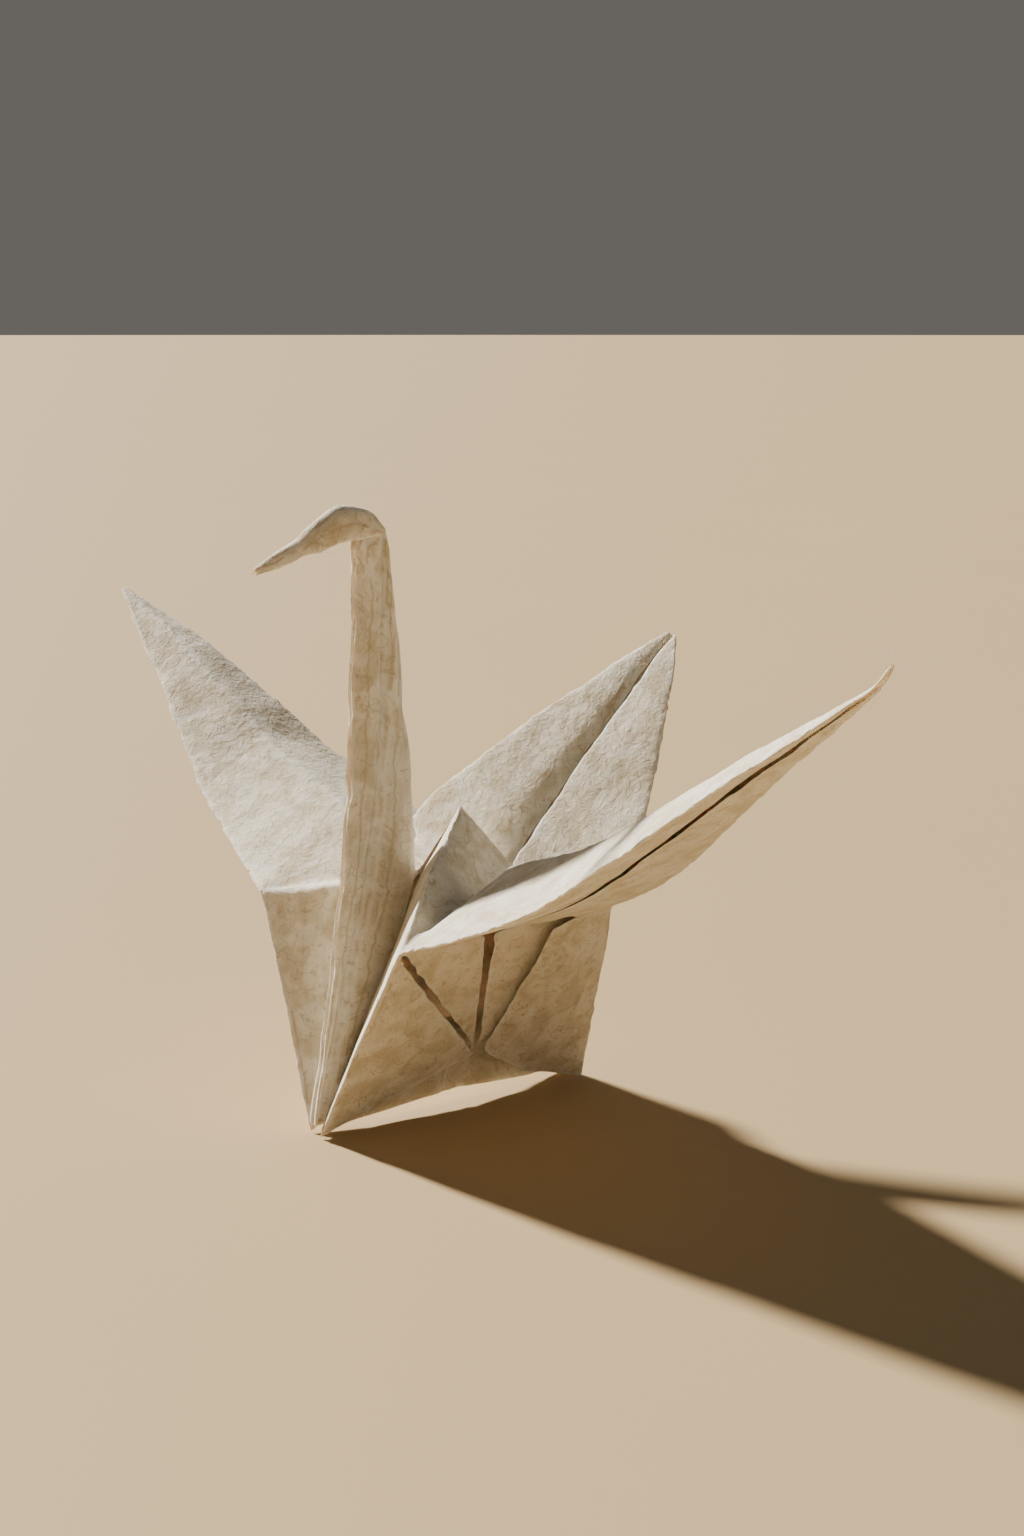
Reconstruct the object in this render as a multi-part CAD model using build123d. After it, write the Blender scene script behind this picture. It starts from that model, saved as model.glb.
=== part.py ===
from build123d import *
import os

# Folded paper crane, one sheet, one solid.  Millimetres, +Z up.
# The head looks along -Y, the tail along +Y, the wings spread along X.
# The origin is on the surface that the crane stands on, midway between its feet.

# --- the sheet ---
paper = 0.25                # thickness of the handmade sheet
layer_pitch = 0.42          # middle of one layer to the middle of the next at a flat fold
fold_overlap = 0.14         # how far a panel runs past its fold line into its neighbour

# --- body ---
foot_spacing = 46.4         # front foot to rear foot
front_foot_half_gap = 1.4   # centre plane to each front foot
rear_foot_half_gap = 2.5
shoulder_half_width = 20.0
shoulder_height = 32.0
shoulder_setback = 2.0      # front foot to the shoulder corners
hip_half_width = 17.0
hip_height = 32.0
hip_setback = 41.0
hump_height = 46.0
hump_setback = 25.0
saddle_half_width = 12.5    # valley where each side of the hump meets its wing
saddle_height = 35.0
saddle_setback = 20.1
far_saddle_half_width = 6.0 # on the far side the hump's front is folded flat against it
far_saddle_setback = 24.0
far_slit_half_gap = 0.3
slit_half_gap = 1.0         # centre plane to the edges of the neck and tail slits
neck_slit_height = 36.6
neck_slit_setback = 17.3
tail_slit_height = 36.0
tail_slit_setback = 34.0
breast_bulge = 1.4          # how far the fold from hump to shoulder bows out
belly_half_width = 6.0      # where the leg flaps meet under the side slit
belly_height = 9.4
belly_setback = 24.0
side_slit_setback = 17.5    # top of the slit between the two recessed side panels
side_slit_width = 0.7       # between the middles of those panels, at the top
recess_depth = 0.6          # recessed side panels behind the leg flaps
rear_flap_setback = 28.2    # top corner of the free edge of the rear leg flap
rear_flap_lift = 0.8        # how far that edge stands off
rear_crease_setback = 31.8
rear_crease_stand_out = 1.0 # the side turns inwards behind this crease
keel_clearance = 1.9        # arch under the keel
keel_height = 13.0
keel_half_width = 2.4       # where the keel's layers run into the linings
lining_height = 22.0        # top of the paper turned in at the bottom edge

# --- neck and head ---
neck_height = 87.4
neck_base_front = -1.2      # front edge of the neck over the front foot
neck_top_front = 7.5
neck_bow = 1.6              # how far the neck's front edge bows back
neck_top_width = 5.6
neck_base_width = 13.2      # at the neck slit
neck_tuck_rise = 3.2        # the neck's layers run on up inside the head
neck_tuck_setback = 0.9
neck_tuck_width = 1.7
neck_layer_half_gap = 0.3
neck_bulge = 0.75           # how far the neck's flaps and sides stand out in their middle
neck_groove_width = 0.45    # bottom of the groove beside each flap's free edge
neck_groove_rise = 1.3      # from that edge to where the side stands out again
chin_fold_drop = 5.2        # small fold tucked under the head on each side of the neck
chin_fold_stand_off = 0.5
head_crest_rise = 4.3          # over the top of the neck
head_crest_setback = 6.4
nape_drop = 0.3                # under the top of the neck
nape_setback = 13.0
beak_drop = 4.2
beak_reach = 8.7            # how far the beak stands out in front of the front foot
head_depth = 5.8            # crest down to the head's lower edge
beak_depth = 0.9
head_half_width = 2.0
ridge_half_width = 0.35

# --- wings ---
wing_reach = 92.4           # centre plane to the near wing's tip
wing_tip_setback = 18.9
wing_tip_chord = 1.6
near_tip_height = 77.8
far_tip_height = 69.6
near_bend = 0.3             # share of the wing's length where it turns up
near_bend_rise = 0.19       # share of its height that it has gained there
far_bend = 0.38
far_bend_rise = 0.2
bend_softness = 0.09        # share of the length over which the turn is spread
near_ridge_rise = 9.2       # crease of the top layer above the wing's two edges
far_ridge_rise = 7.0
ridge_at_tip = 0.7
near_trail_lift = 1.0       # rear edge above the front edge, at mid-length
far_trail_lift = 5.0
wing_slit_half_gap = 0.25
hook_reach = 2.4            # the near tip is turned up
hook_rise = 3.0
hook_chord = 0.9
far_wing_reach = 97.4       # the far wing reaches a little further out
far_tip_setback = 16.8
rib_fractions = (0.0, 0.12, 0.22, 0.3, 0.4, 0.55, 0.75, 1.0)

# --- tail ---
tail_tip_height = 69.3
tail_tip_setback = 65.7
tail_half_width = 16.0      # at the widest of the blade
tail_twist = 5.8            # far edge forward and near edge back of the slit, at the widest
tail_back_gap = 1.9         # back layer behind the two front flaps
groove_depth = 1.0          # the far flap turns down into the slit
groove_share = 0.27         # of the far flap's width that turns down
tail_tip_width = 2.2


def mirrored(corners):
    """The same corners on the far side of the centre plane."""
    return [Vector(-c.X, c.Y, c.Z) for c in corners]


def between(start, end, fraction):
    """The point part of the way from start to end."""
    return start + (end - start) * fraction


def grown(corners):
    """The outline of a flat panel, moved out past its fold lines."""
    normal = (corners[1] - corners[0]).cross(corners[2] - corners[0]).normalized()
    outline = []
    for i, corner in enumerate(corners):
        before = (corner - corners[i - 1]).normalized()
        after = (corners[(i + 1) % len(corners)] - corner).normalized()
        out_before = before.cross(normal)
        out_after = after.cross(normal)
        shift = (out_before + out_after) / max(1 + out_before.dot(out_after), 0.4)
        outline.append(corner + shift * fold_overlap)
    return outline, normal


def panel(*corners):
    """One flat panel of the sheet, centred on the plane of its corners."""
    outline, normal = grown(list(corners))
    back = [c - normal * (paper / 2) for c in outline]
    face = Face(Wire.make_polygon(back, close=True))
    return Solid.extrude(face, normal * paper)


def thick_band(rows):
    """A folded strip of the sheet as one closed solid.

    Each row is a cut across the strip: the points that the middle of the sheet
    passes through.  Rows follow one another along the strip.
    """
    rings = []
    for i, row in enumerate(rows):
        along = (rows[min(i + 1, len(rows) - 1)][0] - rows[max(i - 1, 0)][0]).normalized()
        sides = [along.cross(b - a).normalized() for a, b in zip(row, row[1:])]
        front, back = [], []
        for j, point in enumerate(row):
            first = sides[max(j - 1, 0)]
            second = sides[min(j, len(sides) - 1)]
            mitre = (first + second) / max(1 + first.dot(second), 0.5)
            front.append(point + mitre * (paper / 2))
            back.append(point - mitre * (paper / 2))
        rings.append((front, back))
    triangles = []
    for (front, back), (next_front, next_back) in zip(rings, rings[1:]):
        for j in range(len(front) - 1):
            quad = (front[j], front[j + 1], next_front[j + 1], next_front[j])
            other = (back[j], back[j + 1], next_back[j + 1], next_back[j])
            triangles += [(quad[0], quad[1], quad[2]), (quad[0], quad[2], quad[3])]
            triangles += [(other[2], other[1], other[0]), (other[3], other[2], other[0])]
        for j, flip in ((0, False), (-1, True)):
            edge = [(back[j], front[j], next_front[j]), (back[j], next_front[j], next_back[j])]
            triangles += [t[::-1] for t in edge] if flip else edge
    for (front, back), start in ((rings[0], True), (rings[-1], False)):
        for j in range(len(front) - 1):
            cap = [(front[j + 1], front[j], back[j + 1]), (front[j], back[j], back[j + 1])]
            triangles += cap if start else [t[::-1] for t in cap]
    inside_out = sum(a.dot(b.cross(c)) for a, b, c in triangles) < 0
    if inside_out:
        triangles = [(c, b, a) for a, b, c in triangles]
    faces = [Face(Wire.make_polygon(t, close=True)) for t in triangles]
    return Solid(Shell(faces))


def blade_row(lead, crease, trail, front_edge, rear_edge):
    """A cut across a wing or the tail: one whole layer, folded back at both edges.

    The whole layer runs from lead over crease to trail.  The two flaps run back
    from there to front_edge and rear_edge, with the slit between them.
    """
    lift = (crease - between(front_edge, rear_edge, 0.5)).normalized() * (layer_pitch / 2)
    return [front_edge, lead - lift, lead + lift, crease, trail + lift, trail - lift, rear_edge]


def body_corners():
    """Corners of the near half of the body."""
    along_root = (hip_half_width - shoulder_half_width) / (hip_setback - shoulder_setback)

    def root(setback):
        return shoulder_half_width + along_root * (setback - shoulder_setback)

    corner = {
        "peak": Vector(0.1, hump_setback, hump_height),
        "shoulder": Vector(shoulder_half_width, shoulder_setback, shoulder_height),
        "hip": Vector(hip_half_width, hip_setback, hip_height),
        "saddle": Vector(saddle_half_width, saddle_setback, saddle_height),
        "front_foot": Vector(front_foot_half_gap, -0.4, 0),
        "rear_foot": Vector(rear_foot_half_gap, foot_spacing, 0),
        "neck_slit": Vector(slit_half_gap, neck_slit_setback, neck_slit_height),
        "tail_slit": Vector(slit_half_gap, tail_slit_setback, tail_slit_height),
        "belly": Vector(belly_half_width, belly_setback, belly_height),
        "slit_top": Vector(root(side_slit_setback), side_slit_setback, shoulder_height),
        "rear_flap": Vector(root(rear_flap_setback), rear_flap_setback, shoulder_height - 0.6),
        "rear_crease": Vector(
            root(rear_crease_setback) + rear_crease_stand_out, rear_crease_setback, hip_height
        ),
    }
    bow = Vector(0.25, -0.1, 1) * breast_bulge
    corner["breast"] = between(corner["peak"], corner["shoulder"], 0.54) + bow
    corner["hem"] = between(corner["belly"], corner["rear_foot"], 0.4) + Vector(0, 0, -1.2)
    corner["neck_lining"] = Vector(neck_layer_half_gap, neck_slit_setback - 4, lining_height)
    corner["tail_lining"] = Vector(slit_half_gap, tail_slit_setback + 2, lining_height)
    return corner


def near_hump(c):
    """Panels of the near half of the hump and breast, from the body's corners."""
    return [
        # breast, from the hump down to the front foot, behind the neck
        (c["peak"], c["neck_slit"], c["breast"]),
        (c["neck_slit"], c["shoulder"], c["breast"]),
        # hump
        (c["peak"], c["breast"], c["saddle"]),
        (c["breast"], c["shoulder"], c["saddle"]),
        (c["peak"], c["saddle"], c["tail_slit"]),
    ]


def far_hump(c):
    """Panels of the far half, where the hump's front is folded flat, as if on the near side."""
    return [
        (c["neck_slit"], c["shoulder"], c["saddle"]),
        (c["peak"], c["neck_slit"], c["saddle"]),
        (c["peak"], c["saddle"], c["tail_slit"]),
    ]


def body_side(c, ridge):
    """Panels of one side of the body below its hump and wing, as if on the near side."""
    out = (c["hip"] - c["shoulder"]).cross(c["belly"] - c["shoulder"]).normalized()
    out = out if out.X > 0 else out * -1
    sunk = out * -recess_depth
    flap_edge = c["rear_flap"] + out * rear_flap_lift
    slit = Vector(0, side_slit_width, 0)
    return [
        (c["neck_slit"], c["front_foot"], c["shoulder"]),
        (c["saddle"], c["hip"], c["tail_slit"]),
        (c["tail_slit"], c["hip"], c["rear_foot"]),
        # where the hump's sides turn out into the wing
        (c["shoulder"], c["saddle"], ridge),
        (c["saddle"], c["hip"], ridge),
        # side panels with the slit between them, behind the leg flaps
        (c["shoulder"] + sunk, c["slit_top"] + sunk, c["belly"] + sunk),
        (c["slit_top"] + slit + sunk, c["hip"] + sunk, c["belly"] + slit / 2 + sunk),
        # leg flaps
        (c["shoulder"], c["front_foot"], c["belly"]),
        (flap_edge, c["belly"] + Vector(0, 0.6, 0), c["hem"]),
        (flap_edge, c["hem"], c["rear_foot"]),
        (flap_edge, c["rear_foot"], c["rear_crease"]),
        (c["rear_crease"], c["rear_foot"], c["hip"]),
        # linings, turned in at the bottom edge
        (c["front_foot"], c["belly"], c["neck_lining"]),
        (c["rear_foot"], c["hem"], c["tail_lining"]),
    ]


def keel(side):
    """One layer of the keel between the feet, near (1) or far (-1)."""
    low = Vector(0.15 * side, foot_spacing / 2, keel_clearance)
    front = Vector(0.15 * side, 0, 0)
    rear = Vector(0.15 * side, foot_spacing, 0)
    top_front = Vector(keel_half_width * side, foot_spacing * 0.3, keel_height)
    top_rear = Vector(keel_half_width * side, foot_spacing * 0.72, keel_height)
    return [(front, low, top_front), (low, top_rear, top_front), (low, rear, top_rear)]


def rise(fraction, bend, bend_rise):
    """Height gained along a wing, as a share of the whole: two slopes, softly joined."""
    low = bend_rise / bend
    high = (1 - bend_rise) / (1 - bend)

    def turned(f):
        past = f - bend
        return low * f + (high - low) * (past + (past * past + bend_softness ** 2) ** 0.5) / 2

    return (turned(fraction) - turned(0)) / (turned(1) - turned(0))


def wing_ridge_root(ridge_rise):
    """Where the ridge of a wing starts, over the near root."""
    c = body_corners()
    return between(c["shoulder"], c["hip"], 0.5) + Vector(0, 0, ridge_rise)


def wing(tip, bend, bend_rise, ridge_rise, trail_lift, hooked):
    """A wing, as on the near side: a creased top layer and two flaps folded under it."""
    c = body_corners()
    half_chord = Vector(0, wing_tip_chord / 2, 0)
    rows = []
    for f in rib_fractions:
        lead = between(c["shoulder"], tip - half_chord, f)
        trail = between(c["hip"], tip + half_chord, f)
        slit = between(c["slit_top"], tip, f)
        height = shoulder_height + (tip.Z - shoulder_height) * rise(f, bend, bend_rise)
        lead.Z = height
        trail.Z = height + trail_lift * 4 * f * (1 - f)
        crease = between(lead, trail, 0.5)
        slit.Z = crease.Z + 0.3
        crease.Z += ridge_at_tip + (ridge_rise - ridge_at_tip) * (1 - f ** 1.5)
        gap = Vector(0, wing_slit_half_gap, 0)
        rows.append(blade_row(lead, crease, trail, slit - gap, slit + gap))
    if hooked:
        shift = Vector(hook_reach, 0, hook_rise)
        shrink = hook_chord / wing_tip_chord
        rows.append([tip + shift + (p - tip) * shrink for p in rows[-1]])
    return thick_band(rows)


def tail():
    """The tail: a back layer and two front flaps with the slit between them."""
    base = Vector(0, tail_slit_setback + 0.3, tail_slit_height - 1.0)
    tip = Vector(0, tail_tip_setback, tail_tip_height)
    axis = (tip - base).normalized()
    front = Vector(0, -axis.Z, axis.Y)
    rows = []
    # distance along the blade, near and far half-width, and twist, as shares of the whole
    shares = (
        (-0.09, 0.72, 0.95, 0.85),
        (0.0, 0.98, 1.3, 1.1),
        (0.1, 1.08, 1.28, 1.15),
        (0.3, 0.99, 1.02, 1.0),
        (0.52, 0.74, 0.74, 0.72),
        (0.77, 0.42, 0.42, 0.38),
    )
    for along, near_width, far_width, twist in shares:
        slit = between(base, tip, along)
        turn = front * (tail_twist * twist)
        near = slit + Vector(tail_half_width * near_width, 0, 0) - turn
        far = slit - Vector(tail_half_width * far_width, 0, 0) + turn
        crease = slit - front * tail_back_gap
        near_edge = slit + front * 0.15 - Vector(0.5, 0, 0)
        far_edge = slit + front * (0.15 - groove_depth) - Vector(0.8, 0, 0)
        brink = between(slit, far, groove_share)
        row = blade_row(far, crease, near, far_edge, near_edge)
        row.insert(1, brink)
        rows.append(row)
    half = Vector(tail_tip_width / 2, 0, 0)
    edge_gap = Vector(0.2, 0, 0)
    row = blade_row(tip - half, tip - front * 0.6, tip + half, tip - edge_gap, tip + edge_gap)
    row.insert(1, tip - half / 2)
    rows.append(row)
    return thick_band(rows)


def neck_front(height):
    """Front edge of the neck at a height."""
    share = height / neck_height
    return neck_base_front + (neck_top_front - neck_base_front) * share + neck_bow * 4 * share * (1 - share)


def neck():
    """The neck: closed at the back, two front folds, a flap on each side of a long slit."""
    inner = neck_layer_half_gap
    outer = neck_layer_half_gap + layer_pitch
    cuts = []
    middle = (neck_slit_height + neck_height) / 2
    above_slit = (neck_slit_height + 13.4, middle, neck_height - 12.4, neck_height - 4.4, neck_height)
    for height in (1.0, 12.0, 24.0, neck_slit_height) + above_slit:
        share = height / neck_height
        below = min(height / neck_slit_height, 1)
        above = max((height - neck_slit_height) / (neck_height - neck_slit_height), 0)
        width = neck_base_width * below ** 0.6 * (1 - above) + neck_top_width * above
        cuts.append((height, share, neck_front(height), max(width, 3.0)))
    tuck_front = neck_front(neck_height) + neck_tuck_setback
    cuts.append((neck_height + neck_tuck_rise, 1, tuck_front, neck_tuck_width))
    rows = []
    for height, share, front, width in cuts:
        rear = front + width
        flap = front + width * (0.14 + 0.68 * share ** 1.6)
        groove = flap + min(neck_groove_width, (rear - flap) * 0.35)
        raised = flap + min(neck_groove_rise, (rear - flap) * 0.7)
        side = [
            Vector(outer + 0.1, flap, height),
            Vector(outer + neck_bulge * 0.5, between(front, flap, 0.5), height),
            Vector(outer, front, height),
            Vector(inner, front, height),
            Vector(inner - 0.14, between(front, flap, 0.7), height),
            Vector(inner - 0.1, groove, height),
            Vector(inner + neck_bulge * 0.8, raised, height),
            Vector(inner + neck_bulge, between(raised, rear, 0.3), height),
            Vector(0.21, rear, height),
        ]
        rows.append(side + mirrored(side)[::-1])
    return thick_band(rows)


def chin_fold():
    """The small fold under the head, on the near side of the neck."""
    top = neck_height - 0.4
    front = neck_front(top)
    stand_off = neck_layer_half_gap + layer_pitch + chin_fold_stand_off
    ridge_top = Vector(stand_off + 0.2, front + neck_top_width * 0.12, top)
    ridge_foot = Vector(stand_off, front + neck_top_width * 0.42, top - chin_fold_drop)
    rear_top = Vector(stand_off - 0.3, front + neck_top_width * 0.85, top)
    front_side = Vector(neck_layer_half_gap + layer_pitch, front + 0.2, top - chin_fold_drop * 0.7)
    return [(ridge_top, ridge_foot, rear_top), (ridge_top, front_side, ridge_foot)]


def head():
    """The head, wrapped over the top of the neck, open along its lower edge."""
    crest = Vector(0, head_crest_setback, neck_height + head_crest_rise)
    beak = Vector(0, -beak_reach, neck_height - beak_drop)
    nape = Vector(0, nape_setback - 0.4, neck_height - nape_drop + 0.5)
    stations = (
        (nape, 0.6, 0.75),
        (between(nape, crest, 0.5) + Vector(0, 0, 1.0), head_depth * 0.72, 1.0),
        (crest, head_depth, 1.0),
        (between(crest, beak, 0.14) + Vector(0, 0, 0.9), head_depth * 0.98, 0.95),
        (between(crest, beak, 0.5), head_depth * 0.58, 0.72),
        (beak, beak_depth, 0.4),
    )
    rows = []
    for ridge, depth, width in stations:
        half = head_half_width * width
        side = [
            ridge + Vector(half * 0.9, 0, -depth),
            ridge + Vector(half, 0, -depth * 0.5),
            ridge + Vector(half * 0.72, 0, -depth * 0.14),
            ridge + Vector(ridge_half_width * width, 0, 0),
        ]
        rows.append(side + mirrored(side)[::-1])
    return thick_band(rows)


def folded_sheet():
    """The whole crane as one solid."""
    near_ridge = wing_ridge_root(near_ridge_rise)
    far_ridge = wing_ridge_root(far_ridge_rise)
    near_corners = body_corners()
    far_corners = body_corners()
    far_corners["saddle"] = Vector(far_saddle_half_width, far_saddle_setback, saddle_height)
    far_corners["neck_slit"] = Vector(far_slit_half_gap, neck_slit_setback, neck_slit_height)
    near_panels = near_hump(near_corners) + body_side(near_corners, near_ridge) + chin_fold()
    far_panels = far_hump(far_corners) + body_side(far_corners, far_ridge) + chin_fold()
    pieces = [panel(*corners) for corners in near_panels]
    pieces += [panel(*mirrored(corners)) for corners in far_panels]
    pieces += [panel(*corners) for side in (1, -1) for corners in keel(side)]
    near_tip = Vector(wing_reach, wing_tip_setback, near_tip_height)
    far_tip = Vector(far_wing_reach, far_tip_setback, far_tip_height)
    pieces.append(wing(near_tip, near_bend, near_bend_rise, near_ridge_rise, near_trail_lift, True))
    far_wing = wing(far_tip, far_bend, far_bend_rise, far_ridge_rise, far_trail_lift, False)
    pieces.append(mirror(far_wing, about=Plane.YZ))
    pieces += [tail(), neck(), head()]
    crane = pieces[0].fuse(*pieces[1:])
    lowest = crane.bounding_box().min.Z
    return crane.moved(Location((0, -foot_spacing / 2, -lowest)))


def main():
    os.makedirs("parts", exist_ok=True)
    export_step(folded_sheet(), "parts/folded_sheet.step")


if __name__ == "__main__":
    main()
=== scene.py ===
"""A crane folded from one sheet of handmade paper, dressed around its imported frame."""

import logging
import math
import random
from dataclasses import dataclass
from enum import Enum

import bmesh
import bpy
import numpy as np
from mathutils import Matrix, Vector, noise


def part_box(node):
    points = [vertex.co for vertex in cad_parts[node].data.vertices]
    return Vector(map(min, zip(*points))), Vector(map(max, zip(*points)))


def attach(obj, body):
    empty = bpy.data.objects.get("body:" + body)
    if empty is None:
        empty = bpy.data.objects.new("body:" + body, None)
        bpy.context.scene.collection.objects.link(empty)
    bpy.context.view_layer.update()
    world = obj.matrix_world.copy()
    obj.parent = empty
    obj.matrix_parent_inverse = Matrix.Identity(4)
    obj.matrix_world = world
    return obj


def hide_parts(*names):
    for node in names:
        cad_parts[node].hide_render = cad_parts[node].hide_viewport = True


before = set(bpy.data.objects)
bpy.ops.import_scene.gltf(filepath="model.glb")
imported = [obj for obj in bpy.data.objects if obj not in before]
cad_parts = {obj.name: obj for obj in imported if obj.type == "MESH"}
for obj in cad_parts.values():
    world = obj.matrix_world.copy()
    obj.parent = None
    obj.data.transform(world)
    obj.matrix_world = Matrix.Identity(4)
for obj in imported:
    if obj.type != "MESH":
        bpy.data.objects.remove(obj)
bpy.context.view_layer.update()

MM = 0.001
BODY = "root"
NODE = "folded_sheet"

log = logging.getLogger("crane")


class Axis(Enum):
    """The three directions in which the sheet is cut into small faces."""

    X = (1.0, 0.0, 0.0)
    Y = (0.0, 1.0, 0.0)
    Z = (0.0, 0.0, 1.0)


def linear(colour: str) -> tuple[float, float, float, float]:
    """Turn an sRGB hex value to a linear colour.

    Args:
        colour: six hex digits after a hash sign.

    Returns:
        Linear red, green, blue and a full alpha.
    """
    parts = [int(colour[i : i + 2], 16) / 255 for i in (1, 3, 5)]
    curve = [c / 12.92 if c <= 0.04045 else ((c + 0.055) / 1.055) ** 2.4 for c in parts]
    return (curve[0], curve[1], curve[2], 1.0)


def add(tree: bpy.types.NodeTree, kind: str, values: dict | None = None, **settings) -> bpy.types.Node:
    """Add one shader node.

    Args:
        tree: the node tree that takes it.
        kind: the node's type, without its ShaderNode prefix.
        values: socket name or number to a value, or to an output socket that is linked to it.
        **settings: the node's own properties.

    Returns:
        The new node.
    """
    node = tree.nodes.new("ShaderNode" + kind)
    for name, value in settings.items():
        setattr(node, name, value)
    for key, value in (values or {}).items():
        if isinstance(value, bpy.types.NodeSocket):
            tree.links.new(value, node.inputs[key])
        else:
            node.inputs[key].default_value = value
    return node


def deselect() -> None:
    """Deselect every object."""
    bpy.ops.object.select_all(action="DESELECT")


def pick(piece: bpy.types.Object) -> None:
    """Make a piece the only selected object, and the active one."""
    deselect()
    bpy.context.view_layer.objects.active = piece
    piece.select_set(True)


@dataclass(frozen=True)
class HandmadePaper:
    """Kozo paper, laid by hand on a mould: matt, cloudy, with long fibres and a felted edge.

    Light goes a fraction of a millimetre into it, red furthest, so a face with the light behind
    it glows warm. Its fibres give it a relief that low light picks out.
    """

    sheet: str = "#eee7d8"
    cloud: str = "#d2c6ac"
    fleck: str = "#a28c62"
    # painted shade: a darker tint laid along the shallow creases, where shade falls in the fold
    crease_shade: str = "#b3a07c"
    worn: str = "#fbf9f4"
    cloud_mm: float = 4.0
    relief_mm: float = 1.5
    grain_mm: float = 0.60      # real fibres are 0.02 mm thick; drawn coarser so that they show
    fibre_mm: float = 5.0
    fibre_width: float = 0.022
    crossing_mm: float = 3.5    # a second set of fibres, which shows in the relief alone
    crossing_width: float = 0.03
    fleck_share: float = 0.5    # how much of each tint shows
    fibre_share: float = 0.38
    grain_share: float = 0.22
    crease_shade_share: float = 0.5
    worn_share: float = 0.45
    grain_height: float = 0.2   # heights in the relief, as shares of its coarsest part
    fibre_height: float = 0.13
    crossing_height: float = 0.10
    relief_depth_mm: float = 0.22
    edge_round_mm: float = 0.22
    roughness: float = 0.9
    translucency: float = 0.75
    depth_mm: tuple[float, float, float] = (0.22, 0.15, 0.09)

    def material(self) -> bpy.types.Material:
        """Build the paper.

        Returns:
            One material for the sheet and its loose fibres.
        """
        mat = bpy.data.materials.new("handmade_kozo_paper")
        mat.use_nodes = True
        tree = mat.node_tree
        tree.nodes.clear()
        place = add(tree, "TexCoord").outputs["Object"]
        clouds = self.noise(tree, place, self.cloud_mm, 3, 0.6)
        relief = self.noise(tree, place, self.relief_mm, 4, 0.4)
        grain = self.noise(tree, place, self.grain_mm, 2, 0.0)
        fibres = self.threads(tree, place, self.fibre_mm, self.fibre_width)
        crossing = self.threads(tree, self.turned(tree, place), self.crossing_mm, self.crossing_width)
        flecks = self.ramp(tree, self.noise(tree, place, self.grain_mm * 2.0, 3, 1.4), 0.58, 0.72)
        wear = add(tree, "Attribute", attribute_name="fold_wear").outputs["Fac"]
        # the crease marks, where the darker tint paints in the shade of the fold
        crease_shade = add(tree, "Attribute", attribute_name="fold_line").outputs["Fac"]

        layers = (
            (flecks, self.fleck_share, self.fleck),
            (fibres, self.fibre_share, self.fleck),
            (self.ramp(tree, grain, 0.35, 0.7), self.grain_share, self.cloud),
            # painted shade along the shallow creases
            (self.ramp(tree, crease_shade, 0.45, 1.0), self.crease_shade_share, self.crease_shade),
            (wear, self.worn_share, self.worn),
        )
        cloudy = self.ramp(tree, clouds, 0.35, 0.68)
        tint = self.blend(tree, cloudy, linear(self.sheet), linear(self.cloud))
        for pattern, part, colour in layers:
            tint = self.blend(tree, self.share(tree, pattern, part), tint, linear(colour))

        height = self.sum(tree, relief, self.share(tree, grain, self.grain_height))
        height = self.sum(tree, height, self.share(tree, fibres, self.fibre_height))
        height = self.sum(tree, height, self.share(tree, crossing, self.crossing_height))
        soft_edge = add(tree, "Bevel", {"Radius": self.edge_round_mm * MM}, samples=6)
        bump = add(
            tree,
            "Bump",
            {
                "Height": height,
                "Strength": 1.0,
                "Distance": self.relief_depth_mm * MM,
                "Normal": soft_edge.outputs["Normal"],
            },
        )
        shader = add(
            tree,
            "BsdfPrincipled",
            {
                "Base Color": tint,
                "Roughness": self.roughness,
                "IOR": 1.45,
                "Specular IOR Level": 0.3,
                "Subsurface Weight": self.translucency,
                "Subsurface Radius": self.depth_mm,
                "Subsurface Scale": MM,
                "Sheen Weight": 0.12,
                "Sheen Roughness": 0.6,
                "Normal": bump.outputs["Normal"],
            },
        )
        add(tree, "OutputMaterial", {"Surface": shader.outputs["BSDF"]})
        return mat

    @staticmethod
    def noise(tree: bpy.types.NodeTree, place: bpy.types.NodeSocket, size_mm: float, detail: float,
              swirl: float) -> bpy.types.NodeSocket:
        """A cloudy pattern whose patches are about size_mm wide."""
        values = {"Vector": place, "Scale": 1 / (size_mm * MM), "Detail": detail, "Distortion": swirl}
        return add(tree, "TexNoise", values).outputs["Fac"]

    @staticmethod
    def turned(tree: bpy.types.NodeTree, place: bpy.types.NodeSocket) -> bpy.types.NodeSocket:
        """The place, turned and moved so that a second pattern doesn't repeat the first."""
        values = {"Vector": place, "Location": (0.31, 0.17, 0.05), "Rotation": (0.7, 1.1, 0.4)}
        return add(tree, "Mapping", values).outputs["Vector"]

    def threads(self, tree: bpy.types.NodeTree, place: bpy.types.NodeSocket, size_mm: float,
                width: float) -> bpy.types.NodeSocket:
        """Thin winding lines, where a smooth noise crosses its middle value.

        Args:
            tree: the material's nodes.
            place: where the pattern is read.
            size_mm: how far apart the lines run.
            width: half the line's width, as a share of the noise's range.

        Returns:
            1 on a line, falling to 0 beside it.
        """
        field = self.noise(tree, place, size_mm, 1.5, 1.6)
        away = add(tree, "Math", {0: field, 1: 0.5}, operation="SUBTRACT").outputs[0]
        away = add(tree, "Math", {0: away}, operation="ABSOLUTE").outputs[0]
        return self.ramp(tree, away, width, 0.0)

    @staticmethod
    def ramp(tree: bpy.types.NodeTree, value: bpy.types.NodeSocket, low: float,
             high: float) -> bpy.types.NodeSocket:
        """Take a value from low to high smoothly onto 0 to 1."""
        limits = {"Value": value, "From Min": low, "From Max": high}
        return add(tree, "MapRange", limits, interpolation_type="SMOOTHSTEP").outputs["Result"]

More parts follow.
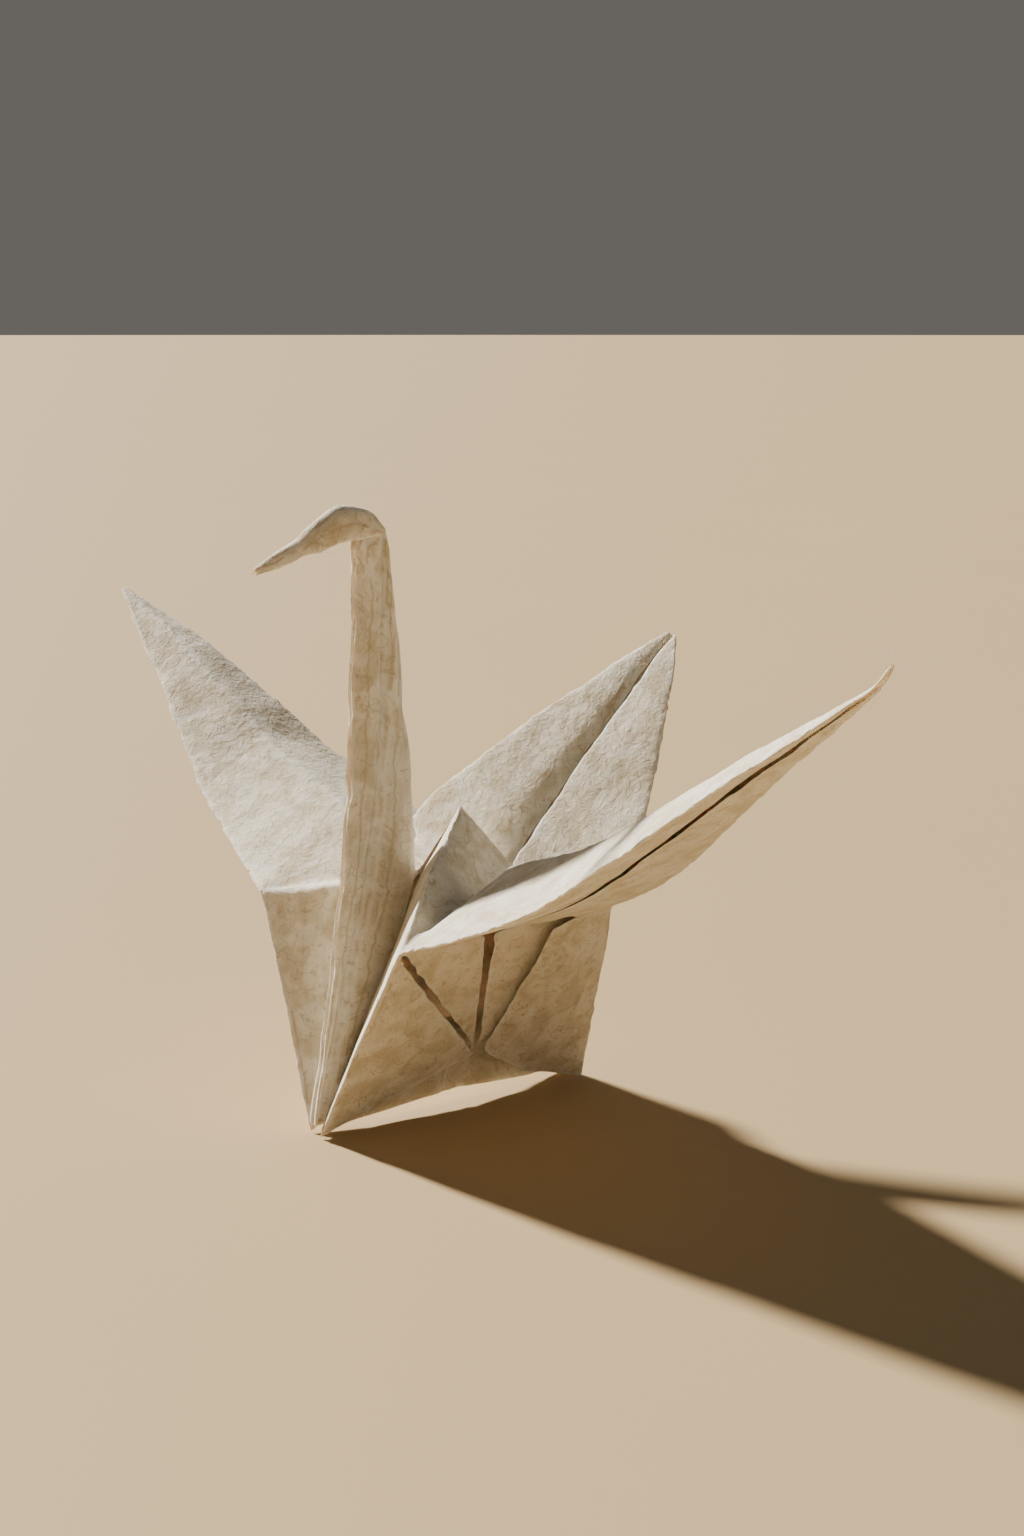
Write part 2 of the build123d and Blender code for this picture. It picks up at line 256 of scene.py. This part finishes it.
    @staticmethod
    def share(tree: bpy.types.NodeTree, value: bpy.types.NodeSocket, part: float) -> bpy.types.NodeSocket:
        """A value times a fixed part."""
        return add(tree, "Math", {0: value, 1: part}, operation="MULTIPLY").outputs[0]

    @staticmethod
    def sum(tree: bpy.types.NodeTree, a: bpy.types.NodeSocket,
            b: bpy.types.NodeSocket) -> bpy.types.NodeSocket:
        """Two values added."""
        return add(tree, "Math", {0: a, 1: b}, operation="ADD").outputs[0]

    @staticmethod
    def blend(tree: bpy.types.NodeTree, part: bpy.types.NodeSocket, a, b) -> bpy.types.NodeSocket:
        """Colour a turning to colour b as part goes from 0 to 1."""
        mix = add(tree, "Mix", {0: part, 6: a, 7: b}, data_type="RGBA")
        return mix.outputs[2]


@dataclass(frozen=True)
class Studio:
    """A plain pale floor, a broad low key light, and soft light all round."""

    floor: str = "#bea57c"
    surround: str = "#d0cbc2"
    key: str = "#fff7ea"
    key_from: tuple[float, float, float] = (-0.82, -0.20, 0.54)
    key_strength: float = 11.0
    key_angle: float = 5.0      # degrees across, which softens the shadow's edge
    surround_strength: float = 0.22
    floor_radius: float = 30.0

    def build_floor(self) -> None:
        """Lay the floor under the feet, so wide that its edge reads as a level horizon."""
        deselect()
        bpy.ops.mesh.primitive_circle_add(vertices=128, radius=self.floor_radius, fill_type="NGON")
        floor = bpy.context.active_object
        floor.name = "studio_floor"
        mat = bpy.data.materials.new("floor_board")
        mat.use_nodes = True
        tree = mat.node_tree
        tree.nodes.clear()
        place = add(tree, "TexCoord").outputs["Object"]
        cloud = add(tree, "TexNoise", {"Vector": place, "Scale": 9.0, "Detail": 3.0}).outputs["Fac"]
        rough = add(tree, "MapRange", {"Value": cloud, "To Min": 0.7, "To Max": 0.85}).outputs["Result"]
        shader = add(tree, "BsdfPrincipled", {"Base Color": linear(self.floor), "Roughness": rough})
        add(tree, "OutputMaterial", {"Surface": shader.outputs["BSDF"]})
        floor.data.materials.append(mat)

    def build_lights(self) -> None:
        """Set the key light and the surround."""
        lamp = bpy.data.lights.new("key_light", "SUN")
        lamp.energy = self.key_strength
        lamp.angle = math.radians(self.key_angle)
        lamp.color = linear(self.key)[:3]
        key = bpy.data.objects.new("key_light", lamp)
        key.rotation_euler = Vector(self.key_from).to_track_quat("Z", "Y").to_euler()
        bpy.context.scene.collection.objects.link(key)
        world = bpy.data.worlds.new("surround")
        world.use_nodes = True
        world.node_tree.nodes["Background"].inputs["Color"].default_value = linear(self.surround)
        world.node_tree.nodes["Background"].inputs["Strength"].default_value = self.surround_strength
        bpy.context.scene.world = world


@dataclass(frozen=True)
class Viewpoint:
    """The camera, in front of the crane on its near wing's side."""

    place: tuple[float, float, float] = (0.2533, -0.1651, 0.1162)
    turn: float = 55.11
    down: float = 11.93
    lens: float = 48.96

    def build(self) -> None:
        """Make the scene's camera."""
        camera = bpy.data.cameras.new("camera")
        camera.sensor_fit = "VERTICAL"
        camera.sensor_height = 36.0
        camera.lens = self.lens
        camera.clip_start = 0.01
        eye = bpy.data.objects.new("camera", camera)
        eye.location = self.place
        eye.rotation_euler = (math.radians(90 - self.down), 0, math.radians(self.turn))
        bpy.context.scene.collection.objects.link(eye)
        bpy.context.scene.camera = eye


@dataclass
class LooseFibres:
    """Single fibres that stand out of the sheet's folds and edges.

    A kozo fibre is about 10 mm long; its free end is shorter than that. It is drawn thicker than
    the real 0.02 mm so that it shows.
    """

    count: int = 150
    length: tuple[float, float] = (0.7 * MM, 2.6 * MM)
    radius: float = 0.022 * MM
    root: float = 0.12 * MM
    lean: float = 0.75
    bend: float = 0.16
    side_bend: float = 0.3
    taper: float = 0.82
    sections: int = 6
    clear_of_floor: float = 4 * MM
    seed: int = 41

    def build(self, sheet: bpy.types.Object, finish: bpy.types.Material) -> bpy.types.Object:
        """Grow the fibres from the sheet's folds.

        Args:
            sheet: the finished sheet, with its folds marked.
            finish: the paper.

        Returns:
            All the fibres as one piece.
        """
        strand = self.strand()
        spots = self.spots(sheet)
        draw = random.Random(self.seed)
        copies = []
        for place, out in draw.sample(spots, min(self.count, len(spots))):
            lean = Vector([draw.uniform(-1, 1) for _ in range(3)])
            away = (out + lean * self.lean).normalized()
            size = draw.uniform(*self.length)
            turn = away.to_track_quat("Z", "Y").to_matrix().to_4x4()
            spin = Matrix.Rotation(draw.uniform(0, math.tau), 4, "Z")
            scale = Matrix.Diagonal((1, 1, size / self.length[1], 1))
            copy = bpy.data.objects.new("strand", strand.data.copy())
            copy.data.transform(Matrix.Translation(place - away * self.root) @ turn @ spin @ scale)
            bpy.context.scene.collection.objects.link(copy)
            copies.append(copy)
        bpy.data.objects.remove(strand)
        deselect()
        for copy in copies:
            copy.select_set(True)
        bpy.context.view_layer.objects.active = copies[0]
        bpy.ops.object.join()
        piece = bpy.context.active_object
        piece.name = "loose_fibres"
        bpy.ops.object.shade_smooth()
        piece.data.materials.append(finish)
        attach(piece, BODY)
        return piece

    def strand(self) -> bpy.types.Object:
        """Model one fibre: a tapered hair that bends over as it rises."""
        deselect()
        bpy.ops.mesh.primitive_circle_add(vertices=4, radius=self.radius, fill_type="NGON")
        piece = bpy.context.active_object
        step = self.length[1] / self.sections
        bpy.ops.object.mode_set(mode="EDIT")
        bpy.ops.mesh.select_all(action="SELECT")
        bpy.ops.mesh.flip_normals()
        for section in range(self.sections):
            bend = self.bend * step * section
            move = {"value": (bend, self.side_bend * bend, step)}
            bpy.ops.mesh.extrude_region_move(TRANSFORM_OT_translate=move)
            bpy.ops.transform.resize(value=(self.taper,) * 3)
        bpy.ops.mesh.select_all(action="SELECT")
        bpy.ops.mesh.normals_make_consistent(inside=False)
        bpy.ops.object.mode_set(mode="OBJECT")
        return piece

    def spots(self, sheet: bpy.types.Object) -> list[tuple[Vector, Vector]]:
        """Places on the folds, each with the way out of the paper."""
        wear = sheet.data.attributes["fold_wear"].data
        worn = [v for v in sheet.data.vertices if wear[v.index].value > 0.5]
        return [(v.co.copy(), v.normal.copy()) for v in worn if v.co.z > self.clear_of_floor]


@dataclass
class FoldedSheet:
    """The crane's one sheet: the frame's own shape with the give of real paper."""

    merge: float = 0.002 * MM
    face_size: float = 1.35 * MM
    first_cut: float = 0.37     # from the box's side, as a share of a face
    weld: float = 0.09 * MM
    flat: float = 4.0           # degrees; under it two faces may trade their shared edge
    sharp: float = 28.0
    shallow: float = 10.0
    smoothings: int = 8
    smooth_share: float = 0.5
    # each wave's length and height in mm, and its own shift
    waves: tuple[tuple[float, float, float], ...] = (
        (30.0, 0.55, 3.1),
        (10.0, 0.20, 11.7),
        (3.4, 0.085, 23.9),
    )
    settle: float = 9.0 * MM
    seed: int = 17              # without it each run would draw other waves

    def build(self, finish: bpy.types.Material) -> bpy.types.Object:
        """Make the sheet and dress it.

        Args:
            finish: the paper.

        Returns:
            The piece, riding on the body and standing for the frame's node.
        """
        piece = self.copied()
        self.cut(piece)
        self.mark_folds(piece)
        self.relax(piece)
        self.cockle(piece)
        bpy.ops.object.shade_smooth_by_angle(angle=math.radians(self.sharp))
        piece.data.materials.clear()
        piece.data.materials.append(finish)
        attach(piece, BODY)
        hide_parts(NODE)
        return piece

    def copied(self) -> bpy.types.Object:
        """Copy the frame's node, and merge its loose triangles to one closed skin."""
        piece = bpy.data.objects.new("crane_paper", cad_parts[NODE].data.copy())
        bpy.context.scene.collection.objects.link(piece)
        pick(piece)
        bpy.ops.object.mode_set(mode="EDIT")
        bpy.ops.mesh.select_all(action="SELECT")
        bpy.ops.mesh.remove_doubles(threshold=self.merge)
        bpy.ops.mesh.customdata_custom_splitnormals_clear()
        bpy.ops.object.mode_set(mode="OBJECT")
        return piece

    def cut(self, piece: bpy.types.Object) -> None:
        """Cut the skin into small even faces, by planes along each axis.

        Args:
            piece: the merged copy; not used, as the cut works on the active object.
        """
        low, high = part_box(NODE)
        bpy.ops.object.mode_set(mode="EDIT")
        for number, axis in enumerate(Axis):
            at = low[number] + self.face_size * self.first_cut
            while at < high[number]:
                bpy.ops.mesh.select_all(action="SELECT")
                bpy.ops.mesh.bisect(plane_co=Vector(axis.value) * at, plane_no=axis.value, threshold=1e-6)
                at += self.face_size
        bpy.ops.mesh.select_all(action="SELECT")
        bpy.ops.mesh.remove_doubles(threshold=self.weld)
        bpy.ops.mesh.quads_convert_to_tris(quad_method="BEAUTY", ngon_method="BEAUTY")
        bpy.ops.mesh.beautify_fill(angle_limit=math.radians(self.flat))
        bpy.ops.object.mode_set(mode="OBJECT")

    def mark_folds(self, piece: bpy.types.Object) -> None:
        """Store how near each point is to a fold or an edge, for the wear there, and to a shallower
        crease, for the shade painted along it.

        Args:
            piece: the cut skin.
        """
        mesh = bmesh.new()
        mesh.from_mesh(piece.data)
        worn = np.zeros(len(mesh.verts))
        lined = np.zeros(len(mesh.verts))
        for edge in mesh.edges:
            turn = math.degrees(edge.calc_face_angle(0.0)) if len(edge.link_faces) == 2 else 0.0
            marks = worn if turn > self.sharp else lined if turn > self.shallow else None
            if marks is not None:
                for end in edge.verts:
                    marks[end.index] = 1.0
        mesh.free()
        # fold_line marks the creases, which relax keeps in place and the paper darkens as painted shade
        for name, marks in (("fold_wear", worn), ("fold_line", lined * (1 - worn))):
            layer = piece.data.attributes.new(name, "FLOAT", "POINT")
            layer.data.foreach_set("value", marks)

    def relax(self, piece: bpy.types.Object) -> None:
        """Let the paper curve smoothly between its folds and creases, which keep their place.

        Args:
            piece: the cut skin, with its folds marked.
        """
        folds = piece.data.attributes["fold_wear"].data
        creases = piece.data.attributes["fold_line"].data
        for vertex in piece.data.vertices:
            vertex.select = folds[vertex.index].value + creases[vertex.index].value < 0.5
        bpy.ops.object.mode_set(mode="EDIT")
        bpy.ops.mesh.select_mode(type="VERT")
        bpy.ops.mesh.vertices_smooth(factor=self.smooth_share, repeat=self.smoothings)
        bpy.ops.object.mode_set(mode="OBJECT")

    def cockle(self, piece: bpy.types.Object) -> None:
        """Move the skin as damp handmade paper dries: both sides of the sheet go the same way.

        Args:
            piece: the cut skin.
        """
        count = len(piece.data.vertices)
        flat = np.empty(count * 3)
        piece.data.vertices.foreach_get("co", flat)
        places = flat.reshape(count, 3)
        rest = np.clip(places[:, 2] / self.settle, 0, 1)
        rest = rest * rest * (3 - 2 * rest)
        moved = np.zeros_like(places)
        noise.seed_set(self.seed)
        for length, height, start in self.waves:
            shift = Vector((start, start * 0.37, -start * 0.71))
            for i, place in enumerate(places):
                push = noise.noise_vector(Vector(place) / (length * MM) + shift)
                moved[i] += np.array(push) * height * MM
        places += moved * rest[:, None]
        places[:, 2] = np.maximum(places[:, 2], 0)
        piece.data.vertices.foreach_set("co", places.ravel())
        piece.data.update()


def main() -> None:
    """Build the crane's pieces in order, then the studio and the camera."""
    logging.basicConfig(level=logging.INFO, format="%(message)s")
    paper = HandmadePaper().material()
    sheet = FoldedSheet().build(paper)
    log.info("%s: %d faces", sheet.name, len(sheet.data.polygons))
    fibres = LooseFibres().build(sheet, paper)
    log.info("%s: %d faces", fibres.name, len(fibres.data.polygons))
    studio = Studio()
    studio.build_floor()
    studio.build_lights()
    Viewpoint().build()


if __name__ == "__main__":
    main()
